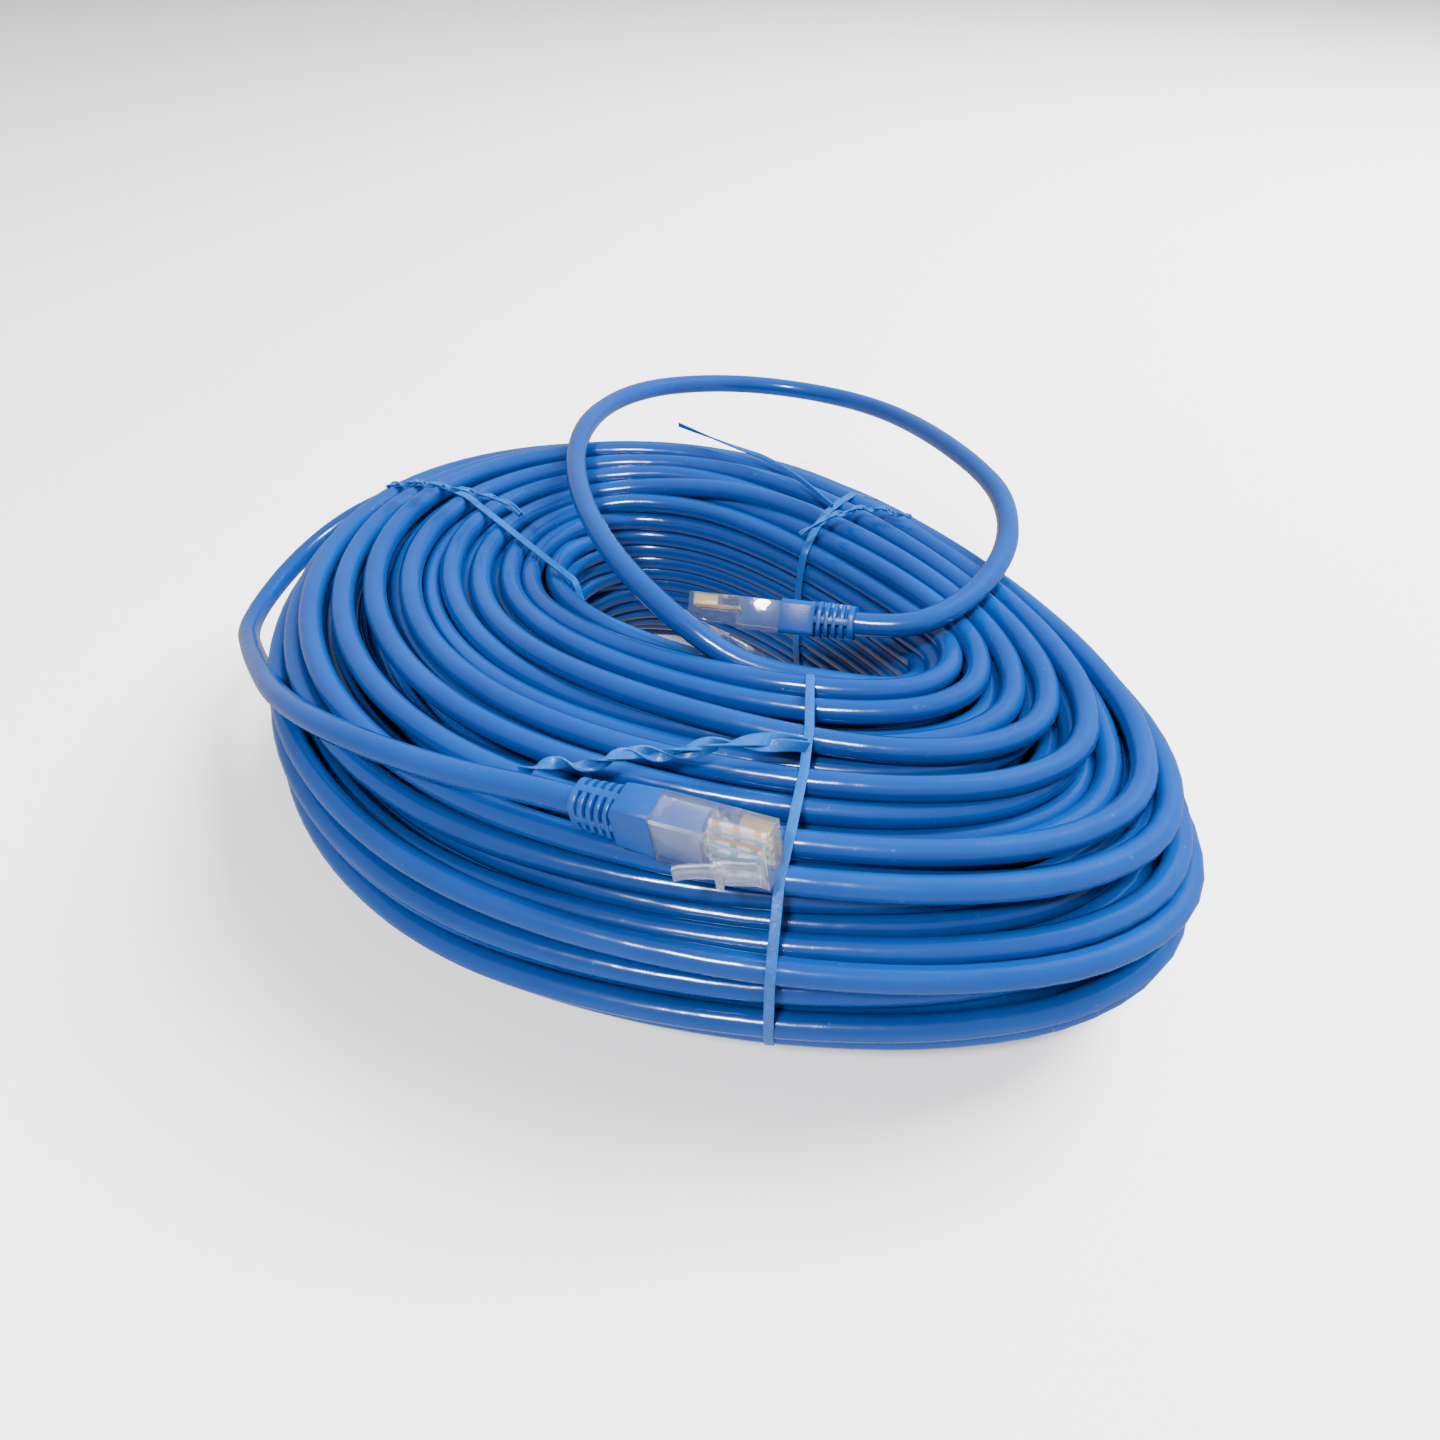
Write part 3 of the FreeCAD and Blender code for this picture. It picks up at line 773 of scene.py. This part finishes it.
ties = []
for name in TIE_LINES:
    ties.append(model_band(name))
    ties.extend(model_tie_tail(name))
tag_line = smooth_route([(3.0, 54.5, 64.2), (-1.5, 56.0, 65.0), (-10.4, 59.9, 65.4),
                         (-25.1, 64.6, 65.4), (-32.2, 65.4, 64.8), (-44.4, 66.9, 64.4),
                         (-56.9, 67.6, 64.8)], 30)
tag = ribbon("strand_back_tag", tag_line, 0.9, 0.5, 0.0, 0.0)
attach(tag, "cable")
ties.append(tag)


# ---------------------------------------------------------------- finishes

class Feed:
    """A value on its way to a shader. Sums on it add the nodes that work them out."""

    def __init__(self, tree, socket):
        self.tree = tree
        self.socket = socket

    def add(self, kind, settings=None, sockets=None, output=0):
        """Adds a node: its settings first, then the values or links of its sockets."""
        node = self.tree.nodes.new(kind)
        for name, value in (settings or {}).items():
            if name == "stops":
                marks = node.color_ramp.elements
                while len(marks) < len(value):
                    marks.new(0.5)
                for mark, (position, shade) in zip(marks, value):
                    mark.position = position
                    mark.color = (shade, shade, shade, 1)
            else:
                setattr(node, name, value)
        for name, value in (sockets or {}).items():
            if isinstance(value, Feed):
                self.tree.links.new(value.socket, node.inputs[name])
            else:
                node.inputs[name].default_value = value
        return Feed(self.tree, node.outputs[output])

    def maths(self, operation, first, second=0.0):
        return self.add("ShaderNodeMath", {"operation": operation}, {0: first, 1: second})

    def __add__(self, other):
        return self.maths("ADD", self, other)

    def __radd__(self, other):
        return self.maths("ADD", other, self)

    def __sub__(self, other):
        return self.maths("SUBTRACT", self, other)

    def __rsub__(self, other):
        return self.maths("SUBTRACT", other, self)

    def __mul__(self, other):
        return self.maths("MULTIPLY", self, other)

    def __rmul__(self, other):
        return self.maths("MULTIPLY", other, self)

    def __lt__(self, other):
        return self.maths("LESS_THAN", self, other)

    def cloud(self, scale, detail=2.0):
        """Soft random patches; self is the place."""
        return self.add("ShaderNodeTexNoise", None,
                        {"Vector": self, "Scale": scale, "Detail": detail})

    def between(self, low, high):
        """0 below low, 1 above high."""
        return self.add("ShaderNodeValToRGB", {"stops": [(low, 0.0), (high, 1.0)]},
                        {"Fac": self})

    def stretched(self, factors):
        return self.add("ShaderNodeVectorMath", {"operation": "MULTIPLY"},
                        {0: self, 1: factors})

    def along(self, way):
        """How far the place lies along a direction, in metres."""
        return self.add("ShaderNodeVectorMath", {"operation": "DOT_PRODUCT"},
                        {0: self, 1: way}, output=1)

    def blend(self, one, other):
        """The first colour where self is 0 and the second where it is 1."""
        colours = [colour if isinstance(colour, Feed) else (*colour, 1)
                   for colour in (one, other)]
        return self.add("ShaderNodeMix", {"data_type": "RGBA"},
                        {0: self, 6: colours[0], 7: colours[1]}, output=2)

    def raised(self, height):
        """Bump whose height in metres is self times the height given."""
        return self.add("ShaderNodeBump", None, {"Strength": 1.0, "Distance": height,
                                                 "Height": self})


def new_finish(name, **constants):
    """A material, its shader's sockets and a feed of the place on the piece."""
    material = bpy.data.materials.new(name)
    material.use_nodes = True
    tree = material.node_tree
    shader = tree.nodes["Principled BSDF"]
    for key, value in constants.items():
        shader.inputs[key.replace("_", " ")].default_value = value
    place = Feed(tree, tree.nodes.new("ShaderNodeTexCoord").outputs["Object"])
    return material, shader.inputs, place


def feed(sockets, **feeds):
    for key, value in feeds.items():
        value.tree.links.new(value.socket, sockets[key.replace("_", " ")])


def jacket_pvc():
    """Glossy soft PVC that ripples a little over the pairs inside, with faint scuffs."""
    material, sockets, place = new_finish("jacket_pvc", IOR=1.47, Specular_IOR_Level=0.6)
    tone = place.cloud(38, 3)
    ripple = place.cloud(150, 1)
    grain = place.cloud(2600, 2)
    scuff = place.stretched((1, 1, 2.5)).cloud(330, 6).between(0.66, 0.78)
    blue = tone.blend((0.0001, 0.026, 0.150), (0.0004, 0.044, 0.225))
    feed(sockets, Base_Color=(scuff * 0.15).blend(blue, (0.02, 0.11, 0.38)),
         Roughness=0.13 + 0.08 * tone + 0.22 * scuff,
         Normal=(ripple + 0.05 * grain).raised(0.00022))
    return material


def boot_pvc():
    """Satin moulded PVC: fine spark-eroded grain, paler where it is handled."""
    material, sockets, place = new_finish("boot_pvc", IOR=1.47)
    tone = place.cloud(110, 3)
    grain = place.cloud(3800, 2)
    rubbed = place.cloud(420, 5).between(0.58, 0.80)
    blue = tone.blend((0.0002, 0.033, 0.175), (0.0006, 0.052, 0.250))
    feed(sockets, Base_Color=(rubbed * 0.22).blend(blue, (0.02, 0.12, 0.40)),
         Roughness=0.30 + 0.10 * tone + 0.14 * rubbed,
         Normal=grain.raised(0.00004))
    return material


def tie_pvc():
    """Thin plastic strip over a wire core: crinkled, paler where it has been bent."""
    material, sockets, place = new_finish("tie_pvc", IOR=1.46)
    tone = place.cloud(240, 3)
    crinkle = place.cloud(1100, 4)
    bent = crinkle.between(0.52, 0.74)
    blue = tone.blend((0.001, 0.052, 0.24), (0.003, 0.080, 0.30))
    feed(sockets, Base_Color=(bent * 0.30).blend(blue, (0.03, 0.15, 0.42)),
         Roughness=0.36 + 0.18 * bent,
         Normal=crinkle.raised(0.00012))
    return material


def clear_polycarbonate():
    """Clear moulding with faint flow clouding and finger marks."""
    material, sockets, place = new_finish("clear_polycarbonate", IOR=1.5,
                                          Transmission_Weight=0.97, Alpha=0.68)
    flow = place.cloud(260, 3)
    marks = place.cloud(1500, 5).between(0.56, 0.80)
    feed(sockets, Base_Color=flow.blend((0.80, 0.86, 0.97), (0.93, 0.95, 1.0)),
         Roughness=0.03 + 0.05 * flow + 0.16 * marks,
         Normal=flow.raised(0.00008))
    return material


def contact_gold():
    """Gold flash over pale nickel, drawn lengthwise and thinner in places."""
    material, sockets, place = new_finish("contact_gold", Metallic=1.0)
    drawn = place.stretched((1, 6, 1)).cloud(2400, 3)
    thin = place.cloud(700, 4).between(0.50, 0.72)
    feed(sockets, Base_Color=(thin * 0.5).blend((1.0, 0.72, 0.33), (0.88, 0.83, 0.70)),
         Roughness=0.16 + 0.16 * drawn,
         Normal=drawn.raised(0.00002))
    return material


def wire_insulation(name, colour, banded, ahead):
    """Insulation of one conductor: plain, or white with bands of the pair's colour."""
    material, sockets, place = new_finish(name, IOR=1.5)
    tone = place.cloud(900, 3)
    plain = tone.blend(tuple(value * 0.82 for value in colour), colour)
    if banded:
        run = place.along(ahead) * 260
        band = run.maths("FRACT", run) < 0.34
        white = tone.blend((0.74, 0.74, 0.71), (0.86, 0.86, 0.84))
        plain = band.blend(white, plain)
    feed(sockets, Base_Color=plain, Roughness=0.32 + 0.12 * tone,
         Normal=tone.raised(0.00002))
    return material


def studio_floor():
    """Matt white paper."""
    material, sockets, place = new_finish("studio_floor")
    tone = place.cloud(9, 2)
    fibre = place.cloud(1400, 2)
    feed(sockets, Base_Color=tone.blend((0.93, 0.93, 0.935), (0.955, 0.955, 0.955)),
         Roughness=0.62 + 0.10 * fibre)
    return material


def wear(piece, material):
    piece.data.materials.clear()
    piece.data.materials.append(material)


PAIR_COLOURS = {
    "orange": (0.80, 0.24, 0.03), "green": (0.03, 0.33, 0.08),
    "blue": (0.02, 0.12, 0.55), "brown": (0.20, 0.08, 0.035),
}
jacket, boot_plastic, tie_plastic = jacket_pvc(), boot_pvc(), tie_pvc()
clear_plastic, gold = clear_polycarbonate(), contact_gold()
wear(cable, jacket)
for piece in ties:
    wear(piece, tie_plastic)
for end in "ab":
    wear(shown[f"housing_{end}"], clear_plastic)
    wear(shown[f"latch_{end}"], clear_plastic)
    wear(shown[f"boot_{end}"], boot_plastic)
    wear(frame["nodes"][f"load_bar_{end}"], clear_plastic)
    wear(frame["nodes"][f"crimp_wedge_{end}"], clear_plastic)
    wear(frame["nodes"][f"contact_blades_{end}"], gold)
    wear(frame["nodes"][f"jacket_end_{end}"], jacket)
    ahead = tuple(plug_place(end).to_3x3() @ Vector((1, 0, 0)))
    for pair, colour in PAIR_COLOURS.items():
        for kind, banded in ((pair, False), (f"white_{pair}", True)):
            wear(frame["nodes"][f"wire_{kind}_{end}"],
                 wire_insulation(f"insulation_{kind}_{end}", colour, banded, ahead))


# ---------------------------------------------------------------- floor and light

deselect()
bpy.ops.mesh.primitive_plane_add(size=8, location=(0, 0, 0))
floor = bpy.context.object
floor.name = "floor"
wear(floor, studio_floor())
floor.visible_glossy = False

world = bpy.data.worlds.new("world")
bpy.context.scene.world = world
world.use_nodes = True
world.node_tree.nodes["Background"].inputs["Color"].default_value = (1, 1, 1, 1)
world.node_tree.nodes["Background"].inputs["Strength"].default_value = 0.6


def softbox(name, way, distance, size, power, glossy=True):
    """A square light in a direction from the coil, facing it."""
    data = bpy.data.lights.new(name, "AREA")
    data.shape = "RECTANGLE"
    data.size, data.size_y = size
    data.energy = power
    lamp = bpy.data.objects.new(name, data)
    bpy.context.scene.collection.objects.link(lamp)
    way = Vector(way).normalized()
    lamp.location = way * distance + Vector((0, 0, 0.05))
    lamp.visible_glossy = glossy
    lamp.rotation_mode = "QUATERNION"
    lamp.rotation_quaternion = (-way).to_track_quat("-Z", "Y")


softbox("streak_light", (0.16, -0.57, 0.81), 1.0, (0.12, 0.12), 15)
softbox("overhead", (0.30, 0.62, 0.85), 1.3, (0.9, 0.9), 85, glossy=False)
